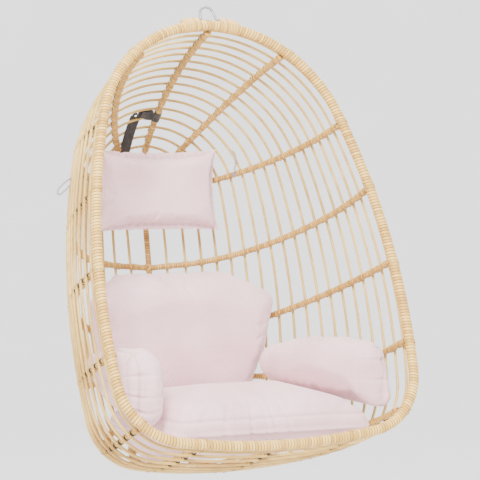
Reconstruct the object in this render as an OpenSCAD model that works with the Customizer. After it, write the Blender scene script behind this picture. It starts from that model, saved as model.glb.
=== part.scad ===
// Hanging egg chair: an egg shaped basket of wound steel ribs and cane rings
// with loose cushions, hung from one steel loop. Millimetres, +Z up, front towards -Y.

/* [Rim] */
// half width of the rim, tube centre line
rim_half_w = 429; // [380:1:480]
// top of the rim above the basket centre
rim_top = 575; // [520:1:640]
// bottom of the rim below the basket centre
rim_bottom = 572; // [520:1:640]
// radius of the crown of the rim
rim_crown_r = 357; // [300:1:400]
// radius of the lower corners of the rim
rim_corner_r = 174; // [120:1:220]
// lean of the rim plane back from the vertical, degrees
recline = 21.3; // [10:0.1:30]
// radius of the steel rim tube
rim_tube_r = 10; // [8:0.5:13]
// outer radius of the rim over its winding
rim_wound_r = 13; // [11:0.5:17]

/* [Rings] */
// number of cane rings between the rim and the back
ring_count = 18; // [12:1:20]
// radius of the cane of a ring
ring_r = 3.8; // [2.5:0.1:6]
// half width of the first ring
ring_half_w = 433; // [380:1:480]
// power of the narrowing of the rings towards the back
ring_power = 0.73; // [0.5:0.01:1]
// depth of the first ring behind the rim
first_depth = 18; // [17:1:30]
// depth of the last ring at its top
dome_depth = 553; // [450:1:650]
// drop of the ring tops towards the back
dome_drop = 196; // [120:1:260]
// rise of the ring bottoms towards the back
floor_rise = 363; // [250:1:420]

/* [Ribs] */
// radius of a wound rib
rib_r = 8; // [6:0.5:10]

/* [Hanging loop] */
// radius of the loop's rod
rod_r = 3.5; // [2.5:0.5:6]
// radius of the arch of the loop
arch_r = 20; // [15:1:30]
// height of the arch's centre above the rim tube's centre
loop_rise = 33; // [30:1:60]

/* [Cushions] */
// fullness of the cushions, multiplies their edge radii
pad_full = 1.0; // [0.8:0.05:1]

/* [Strap] */
// width of the webbing
strap_w = 24; // [15:1:27]
// thickness of the webbing
strap_t = 1.6; // [1:0.1:3]

/* [Hidden] */
clear = 0.35;
steps = ring_count - 0.3;
rib_in = ring_r + rib_r + clear;
rim_steps = [14, 10, 7, 3];

straw = [0.87, 0.76, 0.58];
cane = [0.80, 0.69, 0.52];
steel = [0.55, 0.55, 0.56];
cloth = [0.92, 0.87, 0.87];
webbing = [0.12, 0.11, 0.11];

// ---- the egg: every ring is one outline of arcs on its own tilted plane ----
function u_of(k) = (k - 1) / steps;
function half_w(k) = k == 0 ? rim_half_w : ring_half_w * pow(cos(90 * u_of(k)), ring_power);
function top_z(k) = k == 0 ? rim_top : rim_top - 5 - dome_drop * pow(u_of(k), 2.04);
function bot_z(k) = k == 0 ? -rim_bottom
  : -rim_bottom - 6 + 4 * u_of(k) + floor_rise * pow(u_of(k), 2.5);
function top_y(k) = k == 0 ? 0 : first_depth + dome_depth * (1 - pow(1 - u_of(k), 1.115));
function tilt(k) = k == 0 ? 0 : 0.019 + 0.324 * pow(u_of(k), 1.16) - 0.228 * pow(u_of(k), 6);
function y_at(k, z) = top_y(k) + tilt(k) * (top_z(k) - z);

function arc_pts(c, r, a0, a1, n) =
  [for (i = [0 : n - 1]) c + r * [cos(a0 + (a1 - a0) * i / n), sin(a0 + (a1 - a0) * i / n)]];

function outline(w, zt, zb, a, b, s, g, n) =
  let (
    side = pow((zt - zb) / 2, 2) / (2 * s * w),
    xs = w - side,
    za = zt - a,
    zs = za - sqrt(pow(side - a, 2) - xs * xs),
    zc = zb + b + g,
    xc = xs + sqrt(pow(side - b, 2) - pow(zc - zs, 2)),
    base = (xc * xc + pow(b + g, 2) - b * b) / (2 * g),
    a1 = atan2(za - zs, -xs),
    a2 = atan2(zc - zs, xc - xs),
    a3 = atan2(zc - zb - base, xc)
  )
  concat(
    arc_pts([0, za], a, 90, a1, n[0]),
    arc_pts([xs, zs], side, a1, a2, n[1]),
    arc_pts([xc, zc], b, a2, a3, n[2]),
    arc_pts([0, zb + base], base, a3, -90, n[3]),
    [[0, zb]]
  );

function half_ring(k, n = [7, 9, 4, 3]) =
  k == 0
    ? outline(rim_half_w, rim_top, -rim_bottom, rim_crown_r, rim_corner_r, 0.213, 20, n)
    : let (w = half_w(k), u = u_of(k))
      outline(w, top_z(k), bot_z(k), (0.85 + 0.1 * u) * w, 0.41 * w, 0.235 - 0.03 * u, 0.045 * w, n);

function mirrored(h) = concat(h, [for (i = [len(h) - 2 : -1 : 1]) [-h[i][0], h[i][1]]]);
function on_plane(k, p) = [p[0], y_at(k, p[1]), p[1]];
function unit(v) = v / norm(v);

// ---- sweeps ----
function ring_verts(pts, nrm, r, m) =
  let (c = len(pts))
  [for (i = [0 : c - 1], j = [0 : m - 1])
    let (
      t = unit(pts[(i + 1) % c] - pts[(i + c - 1) % c]),
      v = unit(cross(t, nrm))
    )
    pts[i] + r * (cos(360 * (j + 0.5) / m) * nrm + sin(360 * (j + 0.5) / m) * v)];

module sweep_closed(pts, nrm, r, m) {
  c = len(pts);
  polyhedron(
    points = ring_verts(pts, nrm, r, m),
    faces = [for (i = [0 : c - 1], j = [0 : m - 1], h = [0 : 1])
      let (i2 = (i + 1) % c, j2 = (j + 1) % m)
      h == 0 ? [i * m + j, i * m + j2, i2 * m + j2] : [i * m + j, i2 * m + j2, i2 * m + j]]);
}

function tangent(pts, i) =
  i == 0 ? unit(pts[1] - pts[0])
  : i == len(pts) - 1 ? unit(pts[i] - pts[i - 1])
  : unit(unit(pts[i + 1] - pts[i]) + unit(pts[i] - pts[i - 1]));

// open sweep with one side direction per point; w and h are half sizes of the section
function rod_verts(pts, dirs, w, h, m) =
  [for (i = [0 : len(pts) - 1], j = [0 : m - 1])
    let (
      t = tangent(pts, i),
      a = unit(dirs[i] - (dirs[i] * t) * t),
      b = cross(t, a)
    )
    pts[i] + cos(360 * (j + 0.5) / m) * h * a + sin(360 * (j + 0.5) / m) * w * b];

module sweep_open(pts, dirs, w, h, m) {
  c = len(pts);
  polyhedron(
    points = rod_verts(pts, dirs, w, h, m),
    faces = concat(
      [for (i = [0 : c - 2], j = [0 : m - 1], q = [0 : 1])
        let (j2 = (j + 1) % m)
        q == 0 ? [i * m + j, i * m + j2, (i + 1) * m + j2]
          : [i * m + j, (i + 1) * m + j2, (i + 1) * m + j]],
      [[for (j = [m - 1 : -1 : 0]) j]],
      [[for (j = [0 : m - 1]) (c - 1) * m + j]]));
}

// hollow sleeve along an open path in the rim plane
module sleeve(pts, r_out, r_in, m) {
  c = len(pts);
  dirs = [for (p = pts) [0, 1, 0]];
  polyhedron(
    points = concat(rod_verts(pts, dirs, r_out, r_out, m), rod_verts(pts, dirs, r_in, r_in, m)),
    faces = concat(
      [for (i = [0 : c - 2], j = [0 : m - 1], q = [0 : 1])
        let (j2 = (j + 1) % m)
        q == 0 ? [i * m + j, i * m + j2, (i + 1) * m + j2]
          : [i * m + j, (i + 1) * m + j2, (i + 1) * m + j]],
      [for (i = [0 : c - 2], j = [0 : m - 1], q = [0 : 1])
        let (j2 = (j + 1) % m, o = c * m)
        q == 0 ? [o + i * m + j, o + (i + 1) * m + j2, o + i * m + j2]
          : [o + i * m + j, o + (i + 1) * m + j, o + (i + 1) * m + j2]],
      [for (j = [0 : m - 1], q = [0 : 1])
        let (j2 = (j + 1) % m, o = c * m)
        q == 0 ? [j, o + j2, j2] : [j, o + j, o + j2]],
      [for (j = [0 : m - 1], q = [0 : 1])
        let (j2 = (j + 1) % m, e = (c - 1) * m, o = c * m + (c - 1) * m)
        q == 0 ? [e + j, e + j2, o + j2] : [e + j, o + j2, o + j]]));
}

// basket coordinates to the chair's own frame, origin in the eye of the loop
module in_chair() {
  rotate([-recline, 0, 0]) translate([0, 0, -rim_top - loop_rise]) children();
}
// cushions are described upright, from the basket centre
module upright() {
  rotate([-recline, 0, 0]) translate([0, 0, -rim_top - loop_rise]) rotate([recline, 0, 0]) children();
}

// ---- ribs: a height on every ring, carried inwards from the rings ----
function x_on(k, z) = lookup(z, [for (p = half_ring(k)) [p[1], p[0]]]);
function z_on_floor(k, x) =
  lookup(x, [for (p = half_ring(k)) if (p[1] < bot_z(k) + half_w(k) * 0.45) [p[0], p[1]]]);

function by_height(k, z) = [x_on(k, z), y_at(k, z), z];
function by_side(k, x) = let (z = z_on_floor(k, x)) [x, y_at(k, z), z];

function rib_z(name, u) =
  name == "crown" ? 503 + 30 * u - 177 * u * u
  : name == "shoulder" ? 301 + 44 * u - 27 * u * u
  : name == "waist" ? 113 - 22 * u + 10 * u * u
  : name == "arm" ? -93 + 26 * u - 40 * u * u
  : -315 + 160 * u * u;

function rib_on(name, k) =
  let (u = max(0, u_of(k)))
  name == "floor" ? by_side(k, 208 * (1 - pow(u, 3)))
  : name == "corner" ? by_height(k, bot_z(k) + 73 * (1 - 0.55 * u * u))
  : by_height(k, rib_z(name, u));

function ring_dir(name, k) =
  let (p = rib_on(name, k), h = 3)
  name == "floor"
    ? unit(by_side(k, p[0] + h) - by_side(k, p[0] - h))
    : unit(by_height(k, p[2] + h) - by_height(k, p[2] - h));

// outward normal of the basket at a rib crossing
function out_dir(name, k) =
  let (
    a = rib_on(name, min(ring_count, k + 1)) - rib_on(name, max(1, k - 1)),
    n = unit(cross(a, ring_dir(name, k)))
  )
  n * (rib_on(name, k) - [0, 200, 0]) > 0 ? n : -n;

function rib_path(name, last) =
  let (
    mid = [for (k = [1 : last]) rib_on(name, k) - rib_in * out_dir(name, k)],
    first = mid[0] - (mid[1] - mid[0]) * ((mid[0][1] - rim_wound_r - clear) / (mid[1][1] - mid[0][1]))
  )
  concat([first], mid);
function rib_dirs(name, last) =
  concat([out_dir(name, 1)], [for (k = [1 : last]) out_dir(name, k)]);

module rib_right(name, last, end_x) {
  path = rib_path(name, last);
  dirs = rib_dirs(name, last);
  tip = rib_tip(name, path, last, end_x);
  color(straw) in_chair() sweep_open(concat(path, [tip]), concat(dirs, [dirs[last]]), rib_r, rib_r, 8);
}
module rib_left(name, last, end_x) {
  path = rib_path(name, last);
  dirs = rib_dirs(name, last);
  tip = rib_tip(name, path, last, end_x);
  color(straw) in_chair() mirror([1, 0, 0])
    sweep_open(concat(path, [tip]), concat(dirs, [dirs[last]]), rib_r, rib_r, 8);
}

// ---- spine: down the middle of the dome, the back and the floor ----
function spine_out(k, top) =
  let (
    k1 = max(1, k - 1),
    k2 = min(ring_count, k + 1),
    a = top ? [0, top_y(k2) - top_y(k1), top_z(k2) - top_z(k1)]
      : [0, y_at(k2, bot_z(k2)) - y_at(k1, bot_z(k1)), bot_z(k2) - bot_z(k1)],
    n = unit(cross(a, [1, 0, 0]))
  )
  top ? n * sign(n[2]) : -n * sign(n[2]);
function spine_pt(k, top) =
  let (p = top ? [0, top_y(k), top_z(k)] : [0, y_at(k, bot_z(k)), bot_z(k)])
  p - rib_in * spine_out(k, top);
function spine_back_y(z) =
  let (a = spine_pt(ring_count, true), b = spine_pt(ring_count, false))
  a[1] + (b[1] - a[1]) * (z - a[2]) / (b[2] - a[2]);
function spine_near(p, x) =
  let (s = p[0] > 0 ? (p[0] - x) / p[0] : 0)
  [x, p[1] + (spine_back_y(p[2]) - p[1]) * s, p[2]];
// where a rib ends beside the spine; the floor rib runs along the inside of its last ring
function rib_tip(name, path, last, x) =
  name == "floor" ? [x, spine_pt(last, false)[1], spine_pt(last, false)[2]] : spine_near(path[last], x);

function start_of(a, b) = a - (b - a) * ((a[1] - rim_wound_r - clear) / (b[1] - a[1]));

module spine() {
  tops = [for (k = [1 : ring_count]) spine_pt(k, true)];
  lows = [for (k = [ring_count : -1 : 1]) spine_pt(k, false)];
  last = len(lows) - 1;
  path = concat(
    [start_of(tops[0], tops[1])], tops,
    [for (i = [1 : 5]) tops[ring_count - 1] + (lows[0] - tops[ring_count - 1]) * i / 6],
    lows, [start_of(lows[last], lows[last - 1])]);
  color(straw) in_chair() sweep_open(path, [for (p = path) [1, 0, 0]], rib_r, rib_r, 8);
}

// ---- rim ----
function rim_path(side, n) =
  let (h = half_ring(0, n))
  [for (i = [0 : len(h) - 1]) [side * h[i][0], 0, h[i][1]]];

module rim_tube() {
  h = mirrored(half_ring(0, rim_steps));
  color(steel) in_chair() sweep_closed([for (p = h) [p[0], 0, p[1]]], [0, 1, 0], rim_tube_r, 10);
}
function trim_ends(p, d) =
  let (e = len(p) - 1)
  concat([p[0] + unit(p[1] - p[0]) * d], [for (i = [1 : e - 1]) p[i]], [p[e] + unit(p[e - 1] - p[e]) * d]);
module rim_winding_right() {
  color(straw) in_chair()
    sleeve(trim_ends(rim_path(1, rim_steps), 1), rim_wound_r, rim_tube_r + 0.4, 10);
}
module rim_winding_left() {
  color(straw) in_chair() mirror([1, 0, 0])
    sleeve(trim_ends(rim_path(1, rim_steps), 1), rim_wound_r, rim_tube_r + 0.4, 10);
}

// ---- hanging loop: a bent rod with two feet lying on the crown of the rim ----
module rod(a, b) {
  d = b - a;
  translate(a) rotate([0, acos(d[2] / norm(d)), atan2(d[1], d[0])]) cylinder(h = norm(d), r = rod_r, $fn = 32);
}
module hanging_loop() {
  foot_z = -loop_rise + rim_wound_r + rod_r + 1.3;
  knee_l = [-arch_r, 0, foot_z];
  knee_r = [arch_r + 6, 0, foot_z - 0.8];
  tip_l = [-72, 0, foot_z - 7];
  tip_r = [78, 0, foot_z - 8.6];
  color(steel) rotate([-recline, 0, 0]) union() {
    rotate([90, 0, 0]) rotate_extrude(angle = 180, $fn = 64) translate([arch_r, 0]) circle(r = rod_r, $fn = 32);
    rod([-arch_r, 0, 0], knee_l);
    rod([arch_r, 0, 0], knee_r);
    rod(knee_l, tip_l);
    rod(knee_r, tip_r);
    translate(knee_l) sphere(r = rod_r, $fn = 32);
    translate(knee_r) sphere(r = rod_r, $fn = 32);
    translate([arch_r, 0, 0]) sphere(r = rod_r, $fn = 32);
  }
}
// wicker wound over the rim and the foot of the loop
module binding(side, a0, a1) {
  h = rim_wound_r + rod_r + 1.2;
  in_chair() translate([0, 0, rim_top - rim_crown_r]) rotate([90, 0, 0])
    rotate([0, 0, side > 0 ? 90 - a1 : 90 + a0])
      rotate_extrude(angle = a1 - a0, $fn = 240) translate([rim_crown_r, 0])
        difference() {
          hull() {
            circle(r = rim_wound_r + 1.7, $fn = 40);
            translate([h, 0]) circle(r = rod_r + 2.4, $fn = 24);
          }
          hull() {
            circle(r = rim_wound_r + 0.6, $fn = 40);
            translate([h, 0]) circle(r = rod_r + 1.3, $fn = 24);
          }
        }
}
module loop_binding_left() {
  color(straw) binding(-1, 4.2, 12.4);
}
module loop_binding_right() {
  color(straw) binding(1, 5.2, 13.4);
}

// ---- rings ----
module ring(k) {
  h = mirrored(half_ring(k));
  color(cane) in_chair()
    sweep_closed([for (p = h) on_plane(k, p)], unit([0, 1, tilt(k)]), ring_r, 6);
}

// ---- cushions: rounded slabs, each one hull of spheres ----
module ball(p, r) {
  translate(p) sphere(r = r * pad_full, $fn = 20);
}
module both(p, r) {
  ball(p, r);
  ball([-p[0], p[1], p[2]], r);
}
module seat_pad() {
  color(cloth) upright() hull() {
    ball([284, -104, -495], 31);
    ball([-228, -100, -494], 32);
    ball([294, 40, -504], 38);
    ball([-256, 70, -502], 38);
    ball([226, 210, -498], 42);
    ball([-236, 220, -492], 46);
    both([130, 276, -500], 46);
    both([100, 40, -476], 60);
    both([186, -56, -520], 32);
    both([176, 70, -556], 34);
    both([170, 200, -584], 34);
    both([140, 274, -576], 34);
  }
}
module back_pad() {
  color(cloth) upright() hull() {
    both([150, 440, -160], 38);
    both([242, 372, -212], 34);
    both([222, 366, -330], 34);
    both([166, 380, -470], 36);
    both([80, 395, -270], 60);
    both([80, 476, -200], 56);
    both([104, 446, -436], 44);
  }
}
// the two arm pads are soft bolsters that lean a little differently
module arm_pad_right() {
  color(cloth) upright() hull() {
    ball([321, -68, -342], 50);
    ball([352, -84, -436], 33);
    ball([333, 60, -336], 49);
    ball([348, 60, -396], 34);
    ball([320, 170, -350], 44);
    ball([230, 272, -370], 48);
    ball([236, 270, -392], 40);
  }
}
module arm_pad_left() {
  color(cloth) upright() hull() {
    ball([-325, -68, -340], 54);
    ball([-312, -72, -438], 53);
    ball([-334, 60, -336], 48);
    ball([-332, 60, -394], 46);
    ball([-324, 180, -350], 38);
    ball([-276, 282, -384], 33);
    ball([-276, 280, -392], 30);
  }
}
module headrest() {
  color(cloth) upright() hull() {
    ball([158, 514, 193], 15);
    ball([158, 490, -2], 15);
    ball([-174, 514, 193], 15);
    ball([-202, 484, -2], 15);
    ball([-88, 518, 96], 46);
    ball([58, 518, 96], 46);
  }
}

// ---- tie cords of the headrest, knotted round a ring ----
module cord(pts) {
  sweep_open(pts, [for (p = pts) [0, 0, 1]], 2, 2, 6);
}
module tie_left() {
  color(cloth) upright() cord([[-344, 318, 130], [-362, 300, 122], [-384, 296, 108], [-396, 300, 96]]);
}
module tie_right() {
  color(cloth) upright() cord([[212, 500, 205], [222, 494, 190], [218, 488, 160], [214, 486, 140]]);
}

// ---- webbing strap round the spine ----
function strap_mid() = (spine_pt(12, true) + spine_pt(13, true)) / 2;
module strap_loop() {
  a = spine_pt(12, true);
  b = spine_pt(13, true);
  color(webbing) in_chair() translate(strap_mid())
    rotate([-atan2(a[2] - b[2], b[1] - a[1]), 0, 0]) rotate([90, 0, 0])
      difference() {
        cylinder(h = strap_w, r = rib_r + 0.6 + strap_t, center = true, $fn = 40);
        cylinder(h = strap_w + 2, r = rib_r + 0.6, center = true, $fn = 40);
      }
}
module strap_tail() {
  n = [0, 0.6, 0.8];
  pts = [for (i = [0 : 6]) [-18 - 9 * i, top_y(12) + 16.8 + 14 * i + 0.35 * i * i, top_z(12) + 4 - 12 * i - 1.6 * i * i]];
  color(webbing) in_chair() sweep_open(pts, [for (p = pts) n], strap_w * 0.5, strap_t * 0.7, 4);
}

rim_tube();
rim_winding_left();
rim_winding_right();
hanging_loop();
loop_binding_left();
loop_binding_right();
spine();
rib_left("crown", 18, 8.6);  // crown_rib_left
rib_right("crown", 18, 8.6);  // crown_rib_right
rib_left("shoulder", 18, 8.6);  // shoulder_rib_left
rib_right("shoulder", 18, 8.6);  // shoulder_rib_right
rib_left("waist", 18, 8.6);  // waist_rib_left
rib_right("waist", 18, 8.6);  // waist_rib_right
rib_left("arm", 18, 8.6);  // arm_rib_left
rib_right("arm", 18, 8.6);  // arm_rib_right
rib_left("hip", 18, 8.6);  // hip_rib_left
rib_right("hip", 18, 8.6);  // hip_rib_right
rib_left("corner", 18, 8.6);  // corner_rib_left
rib_right("corner", 18, 8.6);  // corner_rib_right
rib_left("floor", 15, 8.6);  // floor_rib_left
rib_right("floor", 15, 8.6);  // floor_rib_right
ring(1);  // ring_01
ring(2);  // ring_02
ring(3);  // ring_03
ring(4);  // ring_04
ring(5);  // ring_05
ring(6);  // ring_06
ring(7);  // ring_07
ring(8);  // ring_08
ring(9);  // ring_09
ring(10);  // ring_10
ring(11);  // ring_11
ring(12);  // ring_12
ring(13);  // ring_13
ring(14);  // ring_14
ring(15);  // ring_15
ring(16);  // ring_16
ring(17);  // ring_17
ring(18);  // ring_18
seat_pad();
back_pad();
arm_pad_left();
arm_pad_right();
headrest();
tie_left();
tie_right();
strap_loop();
strap_tail();
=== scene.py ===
"""Hanging egg chair: wound steel frame, cane rings and loose cushions.

The row frame is in metres with the front towards -Y. Most shapes are worked out in millimetres, either in
the basket's own leaning frame (in_chair) or upright from the basket's centre (upright).
"""

import math

import bpy
import numpy as np
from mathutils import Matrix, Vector


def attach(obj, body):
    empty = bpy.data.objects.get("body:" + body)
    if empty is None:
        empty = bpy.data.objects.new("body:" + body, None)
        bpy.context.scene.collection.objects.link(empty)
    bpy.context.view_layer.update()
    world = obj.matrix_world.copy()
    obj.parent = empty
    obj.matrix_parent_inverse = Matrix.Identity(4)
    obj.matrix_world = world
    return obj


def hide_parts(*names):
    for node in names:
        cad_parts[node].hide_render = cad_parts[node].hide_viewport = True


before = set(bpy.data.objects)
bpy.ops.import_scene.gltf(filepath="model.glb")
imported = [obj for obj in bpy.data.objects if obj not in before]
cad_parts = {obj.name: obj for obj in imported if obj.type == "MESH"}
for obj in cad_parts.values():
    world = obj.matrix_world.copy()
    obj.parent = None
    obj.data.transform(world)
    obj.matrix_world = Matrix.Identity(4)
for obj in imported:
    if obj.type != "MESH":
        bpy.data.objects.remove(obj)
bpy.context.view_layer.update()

# driving sizes, in millimetres
MM = 0.001
RECLINE = math.radians(21.3)
EYE = 608.0  # basket centre below the hanging loop's eye, along the lean
RIM_HALF_W = 429
RIM_TOP = 575
RIM_BOTTOM = -572
CROWN_R = 357  # radius of the rim's top arc
CORNER_R = 174  # radius of the rim's lower corners
RIM_R = 13.0
RING_R = 3.8
RIB_R = 8.0
RIB_IN = RING_R + RIB_R + 0.35  # from a ring's centre line in to a rib's
RINGS = 18
FLOOR_RIB_END = 15  # the floor ribs meet the spine at this ring
LOOP_FOOT = 17.6  # loop foot from the rim's centre line
LOOP_R = 3.5
STRAP_RING = 12  # the strap goes round the spine behind this ring
STRAP_W = 32
TIE_R = 1.9
# winding on the rim and on the ribs: pitch, rows of points a turn, points round, height of a turn
RIM_WRAP = (8.2, 8, 20, 1.5)
RIB_WRAP = (7.0, 7, 14, 1.1)
BACKDROP = 0.62  # light that the studio's own surface gives off


# ---------------------------------------------------------------- the egg
def in_chair(p):
    """Basket millimetres to the row frame."""
    p = np.asarray(p, float)
    c, s = math.cos(RECLINE), math.sin(RECLINE)
    z = p[..., 2] - EYE
    return MM * np.stack([p[..., 0], p[..., 1] * c + z * s, -p[..., 1] * s + z * c], -1)


def turn(v):
    """A direction in the basket to the row frame."""
    v = np.asarray(v, float)
    c, s = math.cos(RECLINE), math.sin(RECLINE)
    return np.stack([v[..., 0], v[..., 1] * c + v[..., 2] * s, -v[..., 1] * s + v[..., 2] * c], -1)


def upright(p):
    """Millimetres from the basket centre, upright, to the row frame."""
    return MM * (np.asarray(p, float) + [0, -EYE * math.sin(RECLINE), -EYE * math.cos(RECLINE)])


def unit(v):
    v = np.asarray(v, float)
    return v / np.linalg.norm(v, axis=-1, keepdims=True)


def u_of(k):
    return (k - 1) / (RINGS - 0.3)


def half_w(k):
    return 433 * math.cos(math.pi / 2 * u_of(k)) ** 0.73


def top_z(k):
    return 570 - 196 * max(0, u_of(k)) ** 2.04


def bot_z(k):
    u = max(0, u_of(k))
    return -578 + 4 * u + 363 * u**2.5


def top_y(k):
    return 18 + 553 * (1 - (1 - u_of(k)) ** 1.115)


def tilt(k):
    u = max(0, u_of(k))
    return 0.019 + 0.324 * u**1.16 - 0.228 * u**6


def y_at(k, z):
    return top_y(k) + tilt(k) * (top_z(k) - z)


def arc(cx, cz, r, a0, a1, n):
    t = np.linspace(a0, a1, n, endpoint=False)
    return np.stack([cx + r * np.cos(t), cz + r * np.sin(t)], 1)


def outline(w, zt, zb, a, b, s, g, n):
    """Right half of one ring: crown, side, corner and bottom arcs that run into each other."""
    side = ((zt - zb) / 2) ** 2 / (2 * s * w)
    xs = w - side
    za = zt - a
    zs = za - math.sqrt((side - a) ** 2 - xs * xs)
    zc = zb + b + g
    xc = xs + math.sqrt((side - b) ** 2 - (zc - zs) ** 2)
    base = (xc * xc + (b + g) ** 2 - b * b) / (2 * g)
    a1 = math.atan2(za - zs, -xs)
    a2 = math.atan2(zc - zs, xc - xs)
    a3 = math.atan2(zc - zb - base, xc)
    return np.vstack([
        arc(0, za, a, math.pi / 2, a1, n[0]),
        arc(xs, zs, side, a1, a2, n[1]),
        arc(xc, zc, b, a2, a3, n[2]),
        arc(0, zb + base, base, a3, -math.pi / 2, n[3]),
        [[0, zb]],
    ])


def half_ring(k, n=(20, 24, 16, 8)):
    w, u = half_w(k), u_of(k)
    return outline(w, top_z(k), bot_z(k), (0.85 + 0.1 * u) * w, 0.41 * w, 0.235 - 0.03 * u, 0.045 * w, n)


def half_rim():
    return outline(RIM_HALF_W, RIM_TOP, RIM_BOTTOM, CROWN_R, CORNER_R, 0.213, 20, (40, 50, 30, 16))


def mirrored(h):
    return np.vstack([h, h[-2:0:-1] * [-1, 1]])


def by_height(k, z):
    h = half_ring(k)
    x = np.interp(-z, -h[:, 1], h[:, 0])
    return np.array([x, y_at(k, z), z])


def by_side(k, x):
    h = half_ring(k)
    low = h[h[:, 1] < bot_z(k) + half_w(k) * 0.45][::-1]
    z = np.interp(x, low[:, 0], low[:, 1])
    return np.array([x, y_at(k, z), z])


HEIGHTS = {
    "crown": lambda u: 503 + 30 * u - 177 * u * u,
    "shoulder": lambda u: 301 + 44 * u - 27 * u * u,
    "waist": lambda u: 113 - 22 * u + 10 * u * u,
    "arm": lambda u: -93 + 26 * u - 40 * u * u,
    "hip": lambda u: -315 + 160 * u * u,
}


def rib_on(name, k):
    u = max(0, u_of(k))
    if name == "floor":
        return by_side(k, 208 * (1 - u**3))
    if name == "corner":
        return by_height(k, bot_z(k) + 73 * (1 - 0.55 * u * u))
    return by_height(k, HEIGHTS[name](u))


def along_ring(name, k):
    p = rib_on(name, k)
    if name == "floor":
        return unit(by_side(k, p[0] + 3) - by_side(k, p[0] - 3))
    return unit(by_height(k, p[2] + 3) - by_height(k, p[2] - 3))


def outward(name, k):
    a = rib_on(name, min(RINGS, k + 1)) - rib_on(name, max(1, k - 1))
    n = unit(np.cross(a, along_ring(name, k)))
    return n if n @ (rib_on(name, k) - [0, 200, 0]) > 0 else -n


def spine_on(k, top):
    return np.array([0, top_y(k), top_z(k)]) if top else np.array([0, y_at(k, bot_z(k)), bot_z(k)])


def spine_out(k, top):
    a = spine_on(min(RINGS, k + 1), top) - spine_on(max(1, k - 1), top)
    n = unit(np.cross(a, [1, 0, 0]))
    return n * np.sign(n[2]) * (1 if top else -1)


def spine_pt(k, top):
    return spine_on(k, top) - RIB_IN * spine_out(k, top)


def spine_back_y(z):
    a, b = spine_pt(RINGS, True), spine_pt(RINGS, False)
    return a[1] + (b[1] - a[1]) * (z - a[2]) / (b[2] - a[2])


def from_rim(a, b):
    """The point of line a-b, carried forward, that touches the back of the rim's winding."""
    return a - (b - a) * (a[1] - RIM_R) / (b[1] - a[1])


def rib_line(name):
    """Centre line of a right hand rib with its outward directions, and the ring crossings on it."""
    last = FLOOR_RIB_END if name == "floor" else RINGS
    outs = [outward(name, k) for k in range(1, last + 1)]
    mids = [rib_on(name, k) - RIB_IN * n for k, n in zip(range(1, last + 1), outs)]
    end = mids[-1]
    if name == "floor":
        tip = spine_pt(last, False) + [RIB_R, 0, 0]
    else:
        tip = np.array([RIB_R, spine_back_y(end[2]), end[2]])
    line = [from_rim(mids[0], mids[1])] + mids + [tip]
    return np.array(line), np.array([outs[0]] + outs + [outs[-1]])


def spine_line():
    tops = [spine_pt(k, True) for k in range(1, RINGS + 1)]
    lows = [spine_pt(k, False) for k in range(RINGS, 0, -1)]
    between = [tops[-1] + (lows[0] - tops[-1]) * i / 6 for i in range(1, 6)]
    outs = [spine_out(k, True) for k in range(1, RINGS + 1)]
    outs += [unit(np.array([0, 1.0, 0.1]))] * 5
    outs += [spine_out(k, False) for k in range(RINGS, 0, -1)]
    line = [from_rim(tops[0], tops[1])] + tops + between + lows + [from_rim(lows[-1], lows[-2])]
    return np.array(line), np.array([outs[0]] + outs + [outs[-1]])


# ---------------------------------------------------------------- sweeps
def smooth(points, step, closed=False):
    """Even samples about step apart on a Catmull-Rom curve through the points."""
    p = np.asarray(points, float)
    if closed:
        q = np.vstack([p[-1], p, p[0], p[1]])
    else:
        q = np.vstack([2 * p[0] - p[1], p, 2 * p[-1] - p[-2]])
    t = np.linspace(0, 1, 12, endpoint=False)[:, None]
    out = []
    for i in range(1, len(q) - 2):
        a, b, c, d = q[i - 1], q[i], q[i + 1], q[i + 2]
        square = (2 * a - 5 * b + 4 * c - d) * t**2
        cube = (3 * b - a - 3 * c + d) * t**3
        out.append(0.5 * (2 * b + (c - a) * t + square + cube))
    dense = np.vstack(out + [q[-2][None]])
    s = np.concatenate([[0], np.cumsum(np.linalg.norm(np.diff(dense[:, :3], axis=0), axis=1))])
    n = max(4, int(round(s[-1] / step)))
    at = np.linspace(0, s[-1], n + 1)
    res = np.stack([np.interp(at, s, dense[:, i]) for i in range(dense.shape[1])], 1)
    return res[:-1] if closed else res


def tangents(p, closed):
    if closed:
        return unit(np.roll(p, -1, 0) - np.roll(p, 1, 0))
    t = np.empty_like(p)
    t[1:-1] = p[2:] - p[:-2]
    t[0] = p[1] - p[0]
    t[-1] = p[-1] - p[-2]
    return unit(t)


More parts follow.
